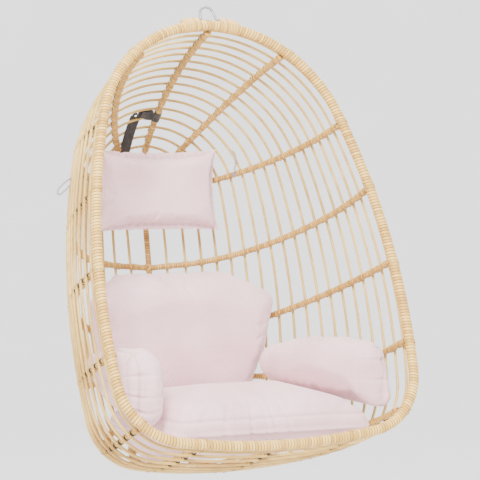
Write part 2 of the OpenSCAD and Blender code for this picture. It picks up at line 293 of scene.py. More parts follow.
class Shape:
    """Collects sweeps into one mesh with a UV map: x along in turns or metres, y round."""

    def __init__(self):
        self.verts = []
        self.faces = []
        self.uvs = []
        self.count = 0

    def sweep(self, path, dirs, radius, closed=False, u=None, aspect=(1, 1), caps=True):
        """path and dirs (n, 3) in metres, radius (n, m): one tube with m sides."""
        path = np.asarray(path, float)
        n, m = radius.shape
        t = tangents(path, closed)
        a = unit(dirs - np.sum(dirs * t, 1, keepdims=True) * t)
        b = np.cross(t, a)
        ang = 2 * np.pi * np.arange(m) / m
        ring = (
            path[:, None]
            + radius[..., None] * (aspect[0] * np.cos(ang)[None, :, None] * a[:, None])
            + radius[..., None] * (aspect[1] * np.sin(ang)[None, :, None] * b[:, None])
        )
        if u is None:
            d = np.linalg.norm(np.diff(path, axis=0), axis=1)
            u = np.concatenate([[0], np.cumsum(d)])
        if closed:
            u = np.append(u, 2 * u[-1] - u[-2])
        base = self.count
        self.verts.append(ring.reshape(-1, 3))
        self.count += n * m
        rows = n if closed else n - 1
        for i in range(rows):
            i2 = (i + 1) % n
            for j in range(m):
                j2 = (j + 1) % m
                near, far = base + i * m, base + i2 * m
                self.faces.append((near + j, near + j2, far + j2, far + j))
                v0, v1 = j / m, (j + 1) / m
                self.uvs.append(((u[i], v0), (u[i], v1), (u[i + 1], v1), (u[i + 1], v0)))
        if caps and not closed:
            self.faces.append(tuple(base + j for j in range(m - 1, -1, -1)))
            self.uvs.append(tuple((u[0], j / m) for j in range(m - 1, -1, -1)))
            self.faces.append(tuple(base + (n - 1) * m + j for j in range(m)))
            self.uvs.append(tuple((u[n - 1], j / m) for j in range(m)))

    def build(self, name, material, slot, body="basket", mirror=False):
        verts = np.vstack(self.verts)
        faces, uvs = self.faces, self.uvs
        if mirror:
            verts = verts * [-1, 1, 1]
            faces = [f[::-1] for f in faces]
            uvs = [q[::-1] for q in uvs]
        mesh = bpy.data.meshes.new(name)
        mesh.from_pydata(verts.tolist(), [], faces)
        layer = mesh.uv_layers.new(name="along")
        flat = np.array([c for q in uvs for c in q], np.float32)
        layer.data.foreach_set("uv", flat.ravel())
        mesh.polygons.foreach_set("use_smooth", [True] * len(mesh.polygons))
        mesh.materials.append(material)
        mesh.update()
        obj = bpy.data.objects.new(name, mesh)
        bpy.context.scene.collection.objects.link(obj)
        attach(obj, body)
        return obj


def wound(shape, line, dirs, r, pitch, per_turn, sides, ridge, phase=0.0):
    """A tube under a close helical winding of flat strip; every turn stands a little proud."""
    both = smooth(np.hstack([line, dirs]), 2.0)
    p, d = both[:, :3], both[:, 3:]
    s = np.concatenate([[0], np.cumsum(np.linalg.norm(np.diff(p, axis=0), axis=1))])
    turns = max(2, round(s[-1] / pitch))
    at = np.linspace(0, s[-1], turns * per_turn + 1)
    p = np.stack([np.interp(at, s, p[:, i]) for i in range(3)], 1)
    d = np.stack([np.interp(at, s, d[:, i]) for i in range(3)], 1)
    h = at[:, None] / s[-1] * turns + np.arange(sides)[None] / sides + phase
    f = h - np.floor(h)
    uneven = 0.25 * np.sin(np.floor(h) * 2.4 + 1.7 * np.sin(np.floor(h)))
    radius = r - ridge + ridge * (1 - np.abs(2 * f - 1) ** 5) * (1 + uneven * 0.5)
    shape.sweep(in_chair(p), turn(d), radius * MM, u=at / s[-1] * turns + phase)
    return p, d


# ---------------------------------------------------------------- materials
class Paint:
    """A node material with short helpers."""

    def __init__(self, name):
        self.mat = bpy.data.materials.new(name)
        self.mat.use_nodes = True
        self.tree = self.mat.node_tree
        self.bsdf = self.tree.nodes["Principled BSDF"]

    def put(self, kind, *links, **props):
        n = self.tree.nodes.new(kind)
        for key, value in props.items():
            setattr(n, key, value)
        for i, value in enumerate(links):
            if value is None:
                continue
            if isinstance(value, bpy.types.NodeSocket):
                self.tree.links.new(value, n.inputs[i])
            else:
                n.inputs[i].default_value = value
        return n

    def math(self, op, a, b=0.5, c=0.5):
        return self.put("ShaderNodeMath", a, b, c, operation=op).outputs[0]

    def coords(self, kind="Object"):
        return self.put("ShaderNodeTexCoord").outputs[kind]

    def noise(self, vector, scale, detail=3.0, rough=0.5):
        n = self.put("ShaderNodeTexNoise", vector)
        n.inputs["Scale"].default_value = scale
        n.inputs["Detail"].default_value = detail
        n.inputs["Roughness"].default_value = rough
        return n.outputs[0]

    def spread(self, vector, by):
        n = self.put("ShaderNodeMapping", vector)
        n.inputs["Scale"].default_value = by
        return n.outputs[0]

    def ramp(self, fac, stops):
        n = self.put("ShaderNodeValToRGB", fac)
        e = n.color_ramp.elements
        while len(e) < len(stops):
            e.new(0.5)
        for el, (pos, colour) in zip(e, stops):
            el.position = pos
            el.color = (*colour, 1)
        return n.outputs[0]

    def mix(self, fac, a, b):
        n = self.tree.nodes.new("ShaderNodeMix")
        n.data_type = "RGBA"
        for key, value in ((0, fac), (6, a), (7, b)):
            if isinstance(value, bpy.types.NodeSocket):
                self.tree.links.new(value, n.inputs[key])
            elif key == 0:
                n.inputs[0].default_value = value
            else:
                n.inputs[key].default_value = (*value, 1)
        return n.outputs[2]

    def bump(self, height, distance, strength=1.0):
        n = self.put("ShaderNodeBump")
        n.inputs["Strength"].default_value = strength
        n.inputs["Distance"].default_value = distance
        self.tree.links.new(height, n.inputs["Height"])
        return n.outputs[0]

    def done(self, colour, rough, normal=None, **fixed):
        self.tree.links.new(colour, self.bsdf.inputs["Base Color"])
        if isinstance(rough, bpy.types.NodeSocket):
            self.tree.links.new(rough, self.bsdf.inputs["Roughness"])
        else:
            self.bsdf.inputs["Roughness"].default_value = rough
        if normal is not None:
            self.tree.links.new(normal, self.bsdf.inputs["Normal"])
        for key, value in fixed.items():
            self.bsdf.inputs[key.replace("_", " ")].default_value = value
        return self.mat


def strip_material(name, light, mid, dark, gap):
    """Flat strip wound round a tube: a tone for each turn, painted shade towards the edges of each turn, a
    painted shadow line between turns, fine grain.
    """
    p = Paint(name)
    uv = p.coords("UV")
    xy = p.put("ShaderNodeSeparateXYZ", uv)
    h = p.math("ADD", xy.outputs[0], xy.outputs[1])
    cell = p.math("FLOOR", h)
    f = p.math("FRACT", h)
    tone = p.put("ShaderNodeTexWhiteNoise", None, cell, noise_dimensions="1D").outputs[0]
    grain = p.noise(p.spread(uv, (14, 2.5, 1)), 6.0, 4.0)
    patch = p.noise(p.coords(), 9.0, 3.0)
    mixed = p.math("ADD", p.math("MULTIPLY", tone, 0.5), p.math("MULTIPLY", patch, 0.5))
    mixed = p.math("ADD", mixed, p.math("MULTIPLY", p.math("SUBTRACT", grain, 0.5), 0.5))
    base = p.ramp(mixed, [(0.18, dark), (0.5, mid), (0.8, light)])
    # painted shade: each turn darkens towards its edges, where the turns meet in a groove
    edge = p.math("ABSOLUTE", p.math("SUBTRACT", f, 0.5))
    line = p.math("GREATER_THAN", edge, 0.5 - gap)
    soft = p.put("ShaderNodeMapRange", edge)
    soft.inputs["From Min"].default_value = 0.5 - 2.0 * gap
    soft.inputs["From Max"].default_value = 0.5
    shade = p.mix(p.math("MULTIPLY", soft.outputs[0], 0.8), base, tuple(c * 0.6 for c in dark))
    # painted shadow: a dark line painted where one turn meets the next
    colour = p.mix(p.math("MULTIPLY", line, 0.8), shade, tuple(c * 0.22 for c in dark))
    rough = p.math("ADD", p.math("MULTIPLY", grain, 0.2), 0.36)
    normal = p.bump(grain, 0.0004, 0.5)
    return p.done(colour, rough, normal)


def cane_material():
    """Round cane: long streaks, tone drifting along each ring."""
    p = Paint("round_cane")
    uv = p.coords("UV")
    streak = p.noise(p.spread(uv, (5, 3.2, 1)), 7.0, 5.0, 0.6)
    drift = p.noise(p.coords(), 5.0, 2.0)
    fine = p.noise(p.spread(uv, (60, 9, 1)), 10.0, 3.0)
    v = p.math("ADD", p.math("MULTIPLY", streak, 0.65), p.math("MULTIPLY", drift, 0.35))
    dark, mid, light = (0.27, 0.135, 0.025), (0.52, 0.315, 0.07), (0.84, 0.58, 0.17)
    colour = p.ramp(v, [(0.3, dark), (0.46, mid), (0.62, light)])
    rough = p.math("ADD", p.math("MULTIPLY", fine, 0.25), 0.32)
    return p.done(colour, rough, p.bump(fine, 0.0003, 0.6))


def black_material():
    p = Paint("black_steel")
    n = p.noise(p.coords(), 300.0, 3.0)
    colour = p.ramp(n, [(0.35, (0.006, 0.005, 0.004)), (0.7, (0.020, 0.017, 0.013))])
    return p.done(colour, p.math("ADD", p.math("MULTIPLY", n, 0.3), 0.4), p.bump(n, 0.0002, 0.4))


def steel_material():
    p = Paint("galvanised_rod")
    n = p.noise(p.spread(p.coords(), (1, 1, 0.2)), 160.0, 4.0)
    spots = p.noise(p.coords(), 45.0, 2.0)
    v = p.math("ADD", p.math("MULTIPLY", n, 0.5), p.math("MULTIPLY", spots, 0.5))
    colour = p.ramp(v, [(0.35, (0.24, 0.24, 0.25)), (0.55, (0.36, 0.36, 0.37)), (0.7, (0.46, 0.45, 0.44))])
    rough = p.math("ADD", p.math("MULTIPLY", n, 0.25), 0.3)
    return p.done(colour, rough, p.bump(n, 0.0002, 0.4), Metallic=0.55)


def cloth_material():
    """Plain woven cushion cover: crossed threads, soft mottling, painted shade along the seams, sheen."""
    p = Paint("cushion_cloth")
    at = p.coords()
    warp = p.noise(p.spread(at, (1, 1, 9)), 210.0, 2.0)
    weft = p.noise(p.spread(at, (9, 9, 1)), 210.0, 2.0)
    weave = p.math("MULTIPLY", p.math("ADD", warp, weft), 0.5)
    cloudy = p.noise(at, 7.0, 3.0)
    slub = p.noise(p.spread(at, (1, 1, 14)), 60.0, 2.0)
    v = p.math("ADD", p.math("MULTIPLY", weave, 0.45), p.math("MULTIPLY", cloudy, 0.4))
    v = p.math("ADD", v, p.math("MULTIPLY", slub, 0.15))
    lo, mid, hi = (0.68, 0.41, 0.435), (0.80, 0.515, 0.545), (0.88, 0.60, 0.63)
    colour = p.ramp(v, [(0.36, lo), (0.5, mid), (0.66, hi)])
    # painted shade: the cloth colour is darkened along the sunk seam lines
    seam = p.put("ShaderNodeAttribute", attribute_name="seam").outputs["Fac"]
    colour = p.mix(p.math("MULTIPLY", seam, 0.42), colour, (0.36, 0.22, 0.23))
    normal = p.bump(weave, 0.0006, 0.55)
    return p.done(colour, p.math("ADD", p.math("MULTIPLY", weave, 0.15), 0.78), normal, Sheen_Weight=0.25)


def webbing_material():
    p = Paint("black_webbing")
    uv = p.coords("UV")
    xy = p.put("ShaderNodeSeparateXYZ", uv)
    rows = p.math("SINE", p.math("MULTIPLY", xy.outputs[0], 2 * math.pi * 500))
    cols = p.math("SINE", p.math("MULTIPLY", xy.outputs[1], 2 * math.pi * 22))
    weave = p.math("MULTIPLY", rows, cols)
    dust = p.noise(p.coords(), 80.0, 3.0)
    v = p.math("ADD", p.math("MULTIPLY", weave, 0.2), dust)
    dark, mid, pale = (0.010, 0.009, 0.008), (0.028, 0.025, 0.022), (0.07, 0.063, 0.055)
    colour = p.ramp(v, [(0.3, dark), (0.6, mid), (0.9, pale)])
    return p.done(colour, 0.7, p.bump(weave, 0.0004, 0.8), Sheen_Weight=0.2)


def cord_material():
    p = Paint("tie_cord")
    at = p.coords("UV")
    xy = p.put("ShaderNodeSeparateXYZ", at)
    lengthways = p.math("MULTIPLY", xy.outputs[0], 260.0)
    twist = p.math("FRACT", p.math("ADD", lengthways, p.math("MULTIPLY", xy.outputs[1], 2.0)))
    n = p.noise(p.coords(), 400.0, 2.0)
    colour = p.ramp(p.math("ADD", p.math("MULTIPLY", twist, 0.5), p.math("MULTIPLY", n, 0.5)),
                    [(0.1, (0.10, 0.08, 0.085)), (0.6, (0.36, 0.30, 0.32))])
    return p.done(colour, 0.85, p.bump(twist, 0.0006, 0.7))


# the last figure sets the width of the painted shade and the painted shadow line between turns
STRAW = strip_material("wound_strip", (0.94, 0.60, 0.16), (0.80, 0.47, 0.095), (0.54, 0.29, 0.04), 0.10)
STRAW_RIB = strip_material(
    "wound_strip_rib", (0.72, 0.44, 0.11), (0.57, 0.32, 0.065), (0.37, 0.185, 0.03), 0.09)
LASH = strip_material("lashing_strip", (0.80, 0.51, 0.14), (0.64, 0.375, 0.08), (0.40, 0.21, 0.035), 0.02)
CANE = cane_material()
BLACK = black_material()
STEEL = steel_material()
CLOTH = cloth_material()
WEBBING = webbing_material()
CORD = cord_material()


def repaint(node, material):
    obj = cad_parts[node]
    obj.data.materials.clear()
    obj.data.materials.append(material)


# ---------------------------------------------------------------- rim and its windings
def rim_line():
    h = half_rim()
    return np.stack([h[:, 0], 0 * h[:, 0], h[:, 1]], 1)


def build_rim():
    line = rim_line()
    dirs = np.tile([0, 1.0, 0], (len(line), 1))
    for side, phase in (("right", 0.0), ("left", 0.4)):
        shape = Shape()
        wound(shape, line, dirs, RIM_R + 0.2, *RIM_WRAP, phase)
        obj = shape.build("wound_rim_" + side, STRAW, "wicker", mirror=side == "left")
        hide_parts("rim_winding_" + side)
    repaint("rim_tube", BLACK)


# ---------------------------------------------------------------- rings
def build_rings():
    for k in range(1, RINGS + 1):
        h = mirrored(half_ring(k))
        p = np.stack([h[:, 0], y_at(k, h[:, 1]), h[:, 1]], 1)
        p = smooth(p, 9.0, closed=True)
        n = len(p)
        t = 2 * np.pi * np.arange(n) / n
        drift = 0.5 * np.sin(5 * t + k) + 0.35 * np.sin(11 * t + 2.3 * k)
        normal = unit([0, 1, tilt(k)])
        p = p + drift[:, None] * normal
        thick = RING_R * (1 + 0.03 * np.sin(7 * t + 1.9 * k))
        shape = Shape()
        up = turn(np.tile(normal, (n, 1)))
        shape.sweep(in_chair(p), up, np.tile(thick[:, None], (1, 10)) * MM, closed=True)
        obj = shape.build(f"cane_ring_{k:02d}", CANE, "cane")
        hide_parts(f"ring_{k:02d}")


# ---------------------------------------------------------------- ribs, spine and lashings
def lash_loop(sign):
    """One turn of an X lashing round a ring and a rib: along the rib, along the ring, outward."""
    half = [(0, 0, 4.9), (2.9, 2.6, 4.0), (5.0, 5.4, 0.4), (5.8, 7.6, -5.5), (5.2, 9.2, -12),
            (3.4, 7.2, -18), (1.4, 3.2, -20.7)]
    pts = half + [(0, 0, -21.2)] + [(-a, -b, n) for a, b, n in half[:0:-1]]
    return np.array([(sign * a, b, n) for a, b, n in pts], float)


def add_lashing(shape, at, along, out):
    cross = unit(np.cross(along, out))
    for sign in (1, -1):
        loop = smooth(lash_loop(sign), 4.5, closed=True)
        away = unit(np.stack([0 * loop[:, 0], loop[:, 1], loop[:, 2] + 8.2], 1))
        base = np.stack([along, cross, out])
        p = at + loop @ base
        d = away @ base
        n = len(p)
        shape.sweep(in_chair(p), turn(d), np.full((n, 6), 1.0) * MM, closed=True, aspect=(0.55, 1.75))


def add_gap(shape, at, along, out, start, end):
    """The black tube showing on the outer side, where the winding parts beside a ring."""
    core = at - (RIB_IN - 2.7) * out
    p = np.array([core + along * start, core + along * (start + end) / 2, core + along * end])
    d = np.tile(out, (3, 1))
    shape.sweep(in_chair(p), turn(d), np.full((3, 14), RIB_R + 0.35) * MM)


def rim_joint(shape, at, along):
    """Two turns of strip on either side of a rib's end, crossing on the front of the rim."""
    radial = unit(np.cross(along, [0, 1.0, 0]))
    phi = np.linspace(0, 2 * np.pi, 22, endpoint=False)
    for side in (1, -1):
        for extra in (0.0, 3.6):
            a = side * ((4.5 + extra) - (6.5 + 0.5 * extra) * np.cos(phi))
            r = RIM_R + 0.9 + 0.1 * extra
            p = at + a[:, None] * along
            away = -np.cos(phi)[:, None] * np.array([0, 1.0, 0]) + np.sin(phi)[:, None] * radial
            p = p + r * away
            radii = np.full((len(p), 6), 1.0) * MM
            shape.sweep(in_chair(p), turn(away), radii, closed=True, aspect=(0.6, 2.0))


def rim_point(x=None, z=None):
    """A point of the rim's right half and the rim's direction there, found by height or side distance."""
    line = rim_line()
    if z is not None:
        i = int(np.argmin(np.abs(line[:, 2] - z)))
    else:
        low = np.where(line[:, 2] < -500)[0]
        i = int(low[np.argmin(np.abs(line[low, 0] - x))])
    i = min(max(i, 1), len(line) - 2)
    return line[i], unit(line[i + 1] - line[i - 1])


def build_ribs():
    for index, name in enumerate(["crown", "shoulder", "waist", "arm", "hip", "corner", "floor"]):
        line, dirs = rib_line(name)
        rib, lash, gaps = Shape(), Shape(), Shape()
        wound(rib, line, dirs, RIB_R + 0.25, *RIB_WRAP, 0.3 * index)
        for i in range(1, len(line) - 1):
            along = unit(line[i + 1] - line[i - 1])
            at = line[i] + RIB_IN * dirs[i]
            add_lashing(lash, at, along, dirs[i])
            add_gap(gaps, at, along, dirs[i], 3.4, 9.0)
            if i > 1:
                add_gap(gaps, at, along, dirs[i], -7.4, -3.4)
        start = line[0]
        if name == "floor":
            at, along = rim_point(x=start[0])
        else:
            at, along = rim_point(z=start[2])
        rim_joint(lash, at, along)
        for side in ("right", "left"):
            flip = side == "left"
            obj = rib.build(f"wound_{name}_rib_{side}", STRAW_RIB, "wicker", mirror=flip)
            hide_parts(f"{name}_rib_{side}")
            lash.build(f"{name}_lashings_{side}", LASH, "wicker", mirror=flip)
            gaps.build(f"{name}_gaps_{side}", BLACK, "steel", mirror=flip)


def build_spine():
    line, dirs = spine_line()
    spine, lash, gaps = Shape(), Shape(), Shape()
    wound(spine, line, dirs, RIB_R + 0.25, *RIB_WRAP)
    crossings = list(range(1, RINGS + 1)) + list(range(RINGS + 6, 2 * RINGS + 6))
    for i in crossings:
        along = unit(line[i + 1] - line[i - 1])
        at = line[i] + RIB_IN * dirs[i]
        add_lashing(lash, at, along, dirs[i])
        if i < len(line) - 2:
            add_gap(gaps, at, along, dirs[i], 3.2, 11.0)
        if i > 1:
            add_gap(gaps, at, along, dirs[i], -7.0, -3.2)
    rim_joint(lash, np.array([0, 0, float(RIM_TOP)]), np.array([1.0, 0, 0]))
    rim_joint(lash, np.array([0, 0, float(RIM_BOTTOM)]), np.array([1.0, 0, 0]))
    # wraps where each pair of ribs meets the spine
    for name in ("crown", "shoulder", "waist", "arm", "hip", "corner"):
        end = rib_line(name)[0][-1]
        z = end[2]
        for dz, slope in ((-6, 7), (-2, 7), (2, -7), (6, -7)):
            phi = np.linspace(0, 2 * np.pi, 20, endpoint=False)
            away = np.stack([np.sin(phi), -np.cos(phi), 0 * phi], 1)
            p = np.array([0, spine_back_y(z), z + dz * 0.6]) + away * (RIB_R + 1.6)
            p[:, 2] += slope * np.sin(phi)
            lash.sweep(in_chair(p), turn(away), np.full((20, 6), 1.0) * MM, closed=True, aspect=(0.7, 2.0))
    obj = spine.build("wound_spine", STRAW_RIB, "wicker")
    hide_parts("spine")
    lash.build("spine_lashings", LASH, "wicker")
    gaps.build("spine_gaps", BLACK, "steel")


# ---------------------------------------------------------------- loop bindings
def build_bindings():
    """Raised windings over the rim and each foot of the hanging loop."""
    for side, a0, a1 in (("left", 4.2, 12.4), ("right", 5.2, 13.4)):
        shape = Shape()
        turns = 11
        per = 6
        rows = turns * per + 1
        m = 28
        ang = np.radians(np.linspace(a0, a1, rows))
        normal = 2 * np.pi * np.arange(m) / m
        out = np.stack([np.cos(normal), np.sin(normal)], 1)
        big = out * (RIM_R + 2.1)
        small = np.array([LOOP_FOOT, 0]) + out * (LOOP_R + 1.9)
        use_small = (small * out).sum(1) > (big * out).sum(1)
        section = np.where(use_small[:, None], small, big)
        h = np.arange(rows)[:, None] / per + np.arange(m)[None] / m
        f = h - np.floor(h)
        proud = 1.2 * (1 - np.abs(2 * f - 1) ** 5)
        end = np.minimum(np.arange(rows), np.arange(rows)[::-1]) / per
        taper = 1 - 0.10 * np.clip(1 - end, 0, 1)
        verts = []
        for i in range(rows):
            radial = np.array([math.sin(ang[i]), 0, math.cos(ang[i])])
            centre = np.array([0, 0, RIM_TOP - CROWN_R]) + CROWN_R * radial
            pts = section * taper[i] + out * proud[i][:, None]
            verts.append(centre + pts[:, :1] * radial + pts[:, 1:] * np.array([0, 1.0, 0]))
        shape.verts.append(in_chair(np.array(verts)).reshape(-1, 3))
        for i in range(rows - 1):
            for j in range(m):
                j2 = (j + 1) % m
                shape.faces.append((i * m + j, (i + 1) * m + j, (i + 1) * m + j2, i * m + j2))
                u0, u1 = i / per, (i + 1) / per
                shape.uvs.append(((u0, j / m), (u1, j / m), (u1, (j + 1) / m), (u0, (j + 1) / m)))
        for i, order in ((0, 1), (rows - 1, -1)):
            shape.faces.append(tuple(i * m + j for j in range(m))[::order])
            shape.uvs.append(tuple((i / per, 0.5) for j in range(m)))
        obj = shape.build("binding_" + side, STRAW, "wicker", mirror=side == "left")
        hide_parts("loop_binding_" + side)
    repaint("hanging_loop", STEEL)


# ---------------------------------------------------------------- strap
def ribbon(shape, line, dirs, width, thick, step=3.0):
    """Flat webbing with rounded selvedges along a line; dirs face out of its broad side."""
    both = smooth(np.hstack([line, dirs]), step)
    p, d = both[:, :3], both[:, 3:]
    n, m = len(p), 12
    ang = 2 * np.pi * np.arange(m) / m
    flat = np.sign(np.cos(ang)) * np.abs(np.cos(ang)) ** 0.5
    wide = np.sign(np.sin(ang)) * np.abs(np.sin(ang)) ** 0.5
    t = tangents(p, False)
    a = unit(d - np.sum(d * t, 1, keepdims=True) * t)
    b = np.cross(t, a)
    s = np.concatenate([[0], np.cumsum(np.linalg.norm(np.diff(p, axis=0), axis=1))]) * MM
    base = shape.count
    ring = p[:, None] + thick / 2 * flat[None, :, None] * a[:, None]
    ring = ring + width / 2 * wide[None, :, None] * b[:, None]
    shape.verts.append(in_chair(ring).reshape(-1, 3))
    shape.count += n * m
    for i in range(n - 1):
        for j in range(m):
            j2 = (j + 1) % m
            near, far = base + i * m, base + (i + 1) * m
            shape.faces.append((near + j, near + j2, far + j2, far + j))
            v0, v1 = 0.5 + 0.5 * wide[j], 0.5 + 0.5 * wide[j2]
            shape.uvs.append(((s[i], v0), (s[i], v1), (s[i + 1], v1), (s[i + 1], v0)))
    shape.faces.append(tuple(base + j for j in range(m - 1, -1, -1)))
    shape.uvs.append(tuple((s[0], 0.5) for j in range(m)))
    shape.faces.append(tuple(base + (n - 1) * m + j for j in range(m)))
    shape.uvs.append(tuple((s[-1], 0.5) for j in range(m)))


def crest(k, x):
    """Top of a ring at a side distance."""
    h = half_ring(k)[:40]
    z = np.interp(abs(x), h[:, 0], h[:, 1])
    return np.array([x, y_at(k, z), z])


def build_strap():
    a, b = spine_pt(STRAP_RING, True), spine_pt(STRAP_RING + 1, True)
    mid = (a + b) / 2
    along = unit(b - a)
    up = unit(np.cross([1.0, 0, 0], along))
    phi = np.radians(np.arange(0, 391, 15) + 60)
    away = np.cos(phi)[:, None] * np.array([1.0, 0, 0]) + np.sin(phi)[:, None] * up
    r = RIB_R + 1.7 + 0.0022 * np.arange(len(phi)) ** 2
    shape = Shape()
    ribbon(shape, mid + r[:, None] * away, away, STRAP_W, 1.6, 2.0)
    # both ends run on to the left between two rings
    for lift, reach in ((3.2, -54), (-2.4, -46)):
        x = np.linspace(-9, reach, 7)
        sag = np.linspace(0, 1, 7)
        wall = np.array([(crest(STRAP_RING, q) + crest(STRAP_RING + 1, q)) / 2 for q in x])
        run = wall + np.outer(lift - 9 * (1 - sag) ** 2, up) + np.outer(3.5 * np.sin(np.pi * sag), along)
        lean = np.outer(0.12 * np.sin(2 * np.pi * sag), along)
        ribbon(shape, run, np.tile(up, (7, 1)) + lean, STRAP_W, 1.5)
    obj = shape.build("strap_round_spine", WEBBING, "webbing")
    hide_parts("strap_loop")
    tail = Shape()
    i = np.linspace(0.9, 6, 8)
    back = top_y(STRAP_RING) + 15 + 14 * i + 0.35 * i * i
    down = top_z(STRAP_RING) - 2 - 12 * i - 1.6 * i * i
    line = np.stack([-52 - 5.5 * i, back, down], 1)
    ribbon(tail, line, np.tile([0, 0.6, 0.8], (8, 1)), STRAP_W, 1.6)
    # the fold: two narrow strands between the broad run and the hanging band
    start = (crest(STRAP_RING, -50) + crest(STRAP_RING + 1, -50)) / 2 + 4 * up
    for shift in (-9, 9):
        middle = (start + line[0]) / 2 + [shift + 1, 0, 3]
        q = np.array([start + [shift + 4, 0, 0], middle, line[0] + [shift, 0, 0.5]])
        ribbon(tail, q, np.tile([0, 0.6, 0.8], (3, 1)), 8, 1.6)
    obj = tail.build("strap_hanging", WEBBING, "webbing")
    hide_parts("strap_tail")


# ---------------------------------------------------------------- cushions
def settle(name, mesh_source, voxel, seam, pressure, cap, shrink, full, rest, frames=20):
    """A padded piece: remeshed, then blown up as cloth with its seams drawn in.

    It isn't blown up towards what it rests on, which lies in the direction of rest.
    """
    mesh = mesh_source.copy()
    obj = bpy.data.objects.new(name, mesh)
    bpy.context.scene.collection.objects.link(obj)
    mesh.materials.clear()
    bpy.context.view_layer.objects.active = obj
    if voxel:
        re = obj.modifiers.new("re", "REMESH")
        re.mode = "VOXEL"
        re.voxel_size = voxel
        apply_all(obj)
    co = points(obj)
    d = seam(co)
    weight = np.exp(-((d / 0.006) ** 2))
    group = obj.vertex_groups.new(name="stitch")
    for w in range(1, 11):
        ids = np.where(np.round(weight * 10) == w)[0].tolist()
        group.add(ids, w / 10, "REPLACE")
    start = co.copy()
    free = np.clip(1 - (normals(obj) @ unit(rest)) / 0.35, 0, 1)[:, None]
    cloth = obj.modifiers.new("puff", "CLOTH")
    c = cloth.settings
    c.quality = 4
    c.mass = 0.15
    c.tension_stiffness = 20
    c.compression_stiffness = 12
    c.shear_stiffness = 8
    c.bending_stiffness = 0.35
    c.air_damping = 3
    c.effector_weights.gravity = 0
    c.use_pressure = True
    c.uniform_pressure_force = pressure
    c.vertex_group_shrink = "stitch"
    c.shrink_min = 0.0
    c.shrink_max = shrink
    cloth.collision_settings.use_self_collision = False
    cloth.collision_settings.use_collision = False
    cloth.point_cache.frame_end = frames
    scene = bpy.context.scene
    for f in range(1, frames + 1):
        scene.frame_set(f)
    apply_all(obj)
    scene.frame_set(1)
    now = points(obj)
    move = now - start
    far = np.linalg.norm(move, axis=1, keepdims=True)
    now = start + free * move * np.minimum(1, cap / np.maximum(far, 1e-9))
    obj.data.vertices.foreach_set("co", now.astype(np.float32).ravel())
    sink(obj, (np.exp(-d / 0.030) - 1) * free[:, 0], full)
    sink(obj, weight, 0.0024)
    # the seam attribute darkens the cloth colour here: painted shade along the sunk seams
    attribute = obj.data.attributes.new("seam", "FLOAT", "POINT")
    attribute.data.foreach_set("value", (weight**4).astype(np.float32))
    sub = obj.modifiers.new("sub", "SUBSURF")
    sub.levels = sub.render_levels = 1
    apply_all(obj)
    return obj


def apply_all(obj):
    dg = bpy.context.evaluated_depsgraph_get()
    fresh = bpy.data.meshes.new_from_object(obj.evaluated_get(dg))
    old = obj.data
    obj.modifiers.clear()
    obj.data = fresh
    bpy.data.meshes.remove(old)


def points(obj):
    co = np.empty(len(obj.data.vertices) * 3)
    obj.data.vertices.foreach_get("co", co)
    return co.reshape(-1, 3)


def normals(obj):
    n = np.empty(len(obj.data.vertices) * 3)
    obj.data.vertices.foreach_get("normal", n)
    return n.reshape(-1, 3)


def sink(obj, weight, depth):
    co = points(obj) - depth * weight[:, None] * normals(obj)
    obj.data.vertices.foreach_set("co", co.astype(np.float32).ravel())
    obj.data.update()


def finish_pad(obj, node, body):
    obj.data.materials.clear()
    obj.data.materials.append(CLOTH)
    obj.data.polygons.foreach_set("use_smooth", [True] * len(obj.data.polygons))
    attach(obj, body)
    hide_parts(node)


def local(co):
    """Row frame metres to upright millimetres from the basket centre."""
    return co / MM + [0, EYE * math.sin(RECLINE), EYE * math.cos(RECLINE)]


def gathers(angle, distance, reach, seed):
    """Creases that run off a seam: narrow in the seam's direction, fading with distance from it."""
    wave = np.sin(23 * angle + seed) + np.sin(37 * angle + 2.1 * seed) + np.sin(61 * angle + 3.3 * seed)
    narrow = np.clip(wave - 0.2, 0, None)
    patchy = 0.5 + 0.5 * np.sin(3 * angle + 1.7 * seed)
    return narrow * patchy * np.exp(-distance / reach)


def crease(obj, seam, centre, plane, depth, reach, seed):
    """Gathers round a pad's seams, pressed in along its normals."""
    co = points(obj)
    p = local(co) - centre
    angle = np.arctan2(p[:, plane[1]], p[:, plane[0]])
    move = depth * gathers(angle, seam(co), reach, seed)
    obj.data.vertices.foreach_set("co", (co - move[:, None] * normals(obj)).astype(np.float32).ravel())
    obj.data.update()


def seat_seams(co):
    """Seams above and below the seat cushion's side band."""
    p = local(co)
    return np.minimum(np.abs(p[:, 2] + 472), np.abs(p[:, 2] + 518)) * MM


def back_seams(co):
    """Edge seam of the back cushion, behind its crowned front."""
    p = local(co)
    return np.abs(p[:, 1] - (394 + 0.19 * (p[:, 2] + 470))) * MM


def arm_edge(co):
    """Seam round the edge of an arm cushion."""
    p = local(co)
    return np.abs(np.abs(p[:, 0]) - (352 - 0.0009 * (p[:, 1] + 60) ** 2)) * MM


def arm_seams(co):
    """The edge seam, and on the left arm another one round its front end."""
    p = local(co)
    end = np.abs(p[:, 1] + 82 - 0.12 * (p[:, 0] + 320)) + 200 * (p[:, 0] > 0)
    return np.minimum(arm_edge(co), end * MM)


